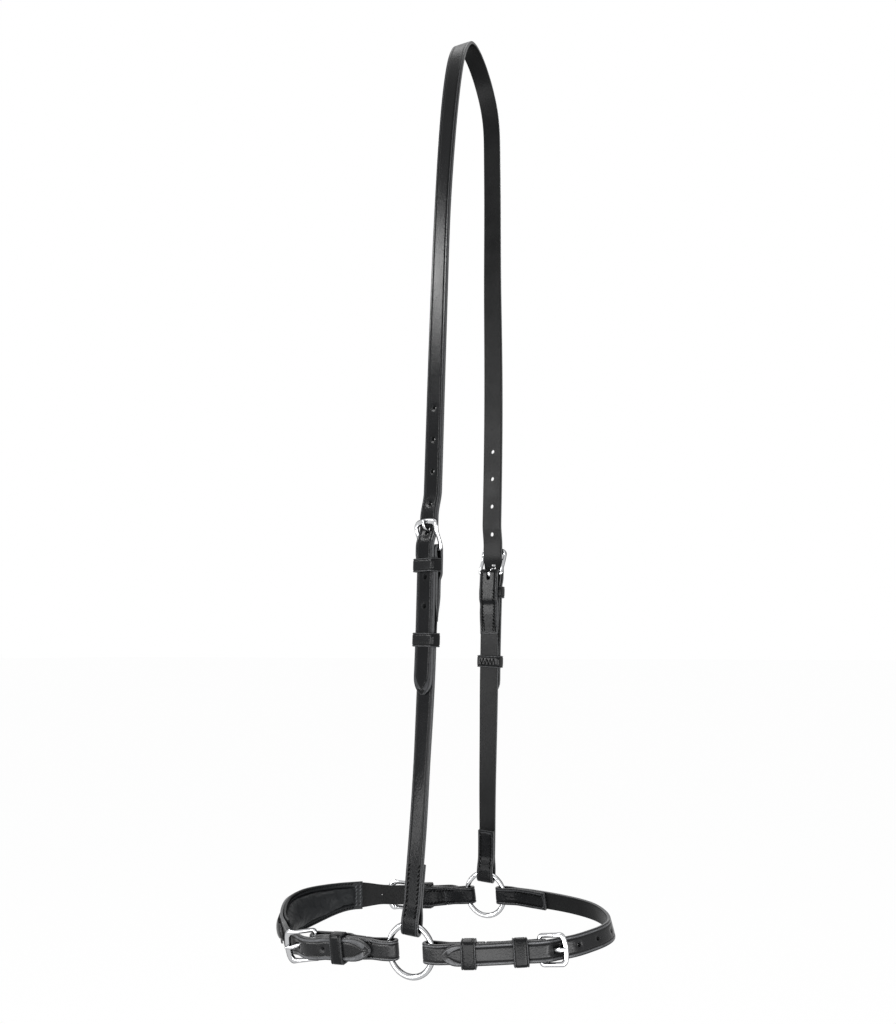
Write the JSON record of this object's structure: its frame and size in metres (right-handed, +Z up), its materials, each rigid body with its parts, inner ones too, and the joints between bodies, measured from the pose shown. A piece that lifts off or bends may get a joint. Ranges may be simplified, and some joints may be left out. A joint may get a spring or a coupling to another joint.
{
  "type": "hanoverian noseband",
  "caption": "Black leather hanoverian noseband: long buckled headpiece, cheek rings, padded front strap on buckled tabs, and a chin strap that buckles at one side.",
  "frame": {"origin": "middle of the underside of the headpiece, where it lies over the poll", "axes": "+Z up, +X towards the chin, -Y towards the near side, where the chin strap buckles"},
  "size_m": [0.2414, 0.1389, 0.6745],
  "materials": {
    "leather": "semi-gloss",
    "lining": "soft satin",
    "foam": "matte",
    "steel": "polished"
  },
  "bodies": {
    "head": {"headpiece": "leather", "near_cheek": "leather", "near_cheek_buckle": "steel", "near_cheek_keeper": "leather", "far_cheek": "leather", "far_cheek_buckle": "steel", "far_cheek_keeper": "leather"},
    "near_ring": {"near_ring": "steel"},
    "far_ring": {"far_ring": "steel"},
    "nose": {"near_nose_tab": "leather", "near_nose_buckle": "steel", "near_nose_keeper": "leather", "far_nose_tab": "leather", "far_nose_buckle": "steel", "far_nose_keeper": "leather", "nose_strap": "leather", "nose_overlay": "leather", "nose_lining": "lining", "nose_foam": "foam"},
    "chin": {"chin_tab": "leather", "chin_buckle": "steel", "chin_keeper": "leather", "chin_strap": "leather"},
    "near_cheek_tongue": {"near_cheek_tongue": "steel"},
    "far_cheek_tongue": {"far_cheek_tongue": "steel"},
    "near_nose_tongue": {"near_nose_tongue": "steel"},
    "far_nose_tongue": {"far_nose_tongue": "steel"},
    "chin_tongue": {"chin_tongue": "steel"},
    "near_cheek_loop": {"near_cheek_loop": "leather"},
    "far_cheek_loop": {"far_cheek_loop": "leather"},
    "chin_loop": {"chin_loop": "leather"}
  },
  "joints": [
    {"name": "near_ring_turn", "type": "hinge", "parent": "head", "child": "near_ring", "pos_m": [-0.017, -0.0625, -0.64729], "axis": [0, 1, 0], "continuous": true},
    {"name": "far_ring_turn", "type": "hinge", "parent": "head", "child": "far_ring", "pos_m": [-0.017, 0.0625, -0.64729], "axis": [0, 1, 0], "continuous": true},
    {"name": "nose_swing", "type": "hinge", "parent": "head", "child": "nose", "pos_m": [-0.017, 0, -0.64729], "axis": [0, 1, 0], "range_deg": [-35, 20]},
    {"name": "chin_swing", "type": "hinge", "parent": "head", "child": "chin", "pos_m": [-0.017, 0, -0.64729], "axis": [0, -1, 0], "range_deg": [-35, 12]},
    {"name": "near_cheek_tongue_lift", "type": "hinge", "parent": "head", "child": "near_cheek_tongue", "pos_m": [-0.00774, -0.0552, -0.40468], "axis": [0.9269, -0.3747, -0.0234], "range_deg": [0, 3]},
    {"name": "far_cheek_tongue_lift", "type": "hinge", "parent": "head", "child": "far_cheek_tongue", "pos_m": [-0.00783, 0.05519, -0.41066], "axis": [-0.9896, 0.1394, 0.0366], "range_deg": [0, 3]},
    {"name": "near_nose_tongue_lift", "type": "hinge", "parent": "nose", "child": "near_nose_tongue", "pos_m": [-0.08459, -0.05973, -0.65378], "axis": [-0.1274, -0.1291, 0.9834], "range_deg": [0, 3]},
    {"name": "far_nose_tongue_lift", "type": "hinge", "parent": "nose", "child": "far_nose_tongue", "pos_m": [-0.07649, 0.0612, -0.65481], "axis": [0.0807, -0.1147, -0.9901], "range_deg": [0, 3]},
    {"name": "chin_tongue_lift", "type": "hinge", "parent": "chin", "child": "chin_tongue", "pos_m": [0.05852, -0.04343, -0.6428], "axis": [0.1504, -0.167, -0.9744], "range_deg": [0, 3]},
    {"name": "near_cheek_loop_slide", "type": "slide", "parent": "head", "child": "near_cheek_loop", "axis": [0.0256, 0.0088, 0.9996], "range_m": [-0.012, 0.006]},
    {"name": "far_cheek_loop_slide", "type": "slide", "parent": "head", "child": "far_cheek_loop", "axis": [0.0354, -0.0188, 0.9992], "range_m": [-0.01, 0.012]},
    {"name": "chin_loop_slide", "type": "slide", "parent": "chin", "child": "chin_loop", "axis": [0.9589, 0.2781, 0.057], "range_m": [-0.0015, 0.002]}
  ]
}
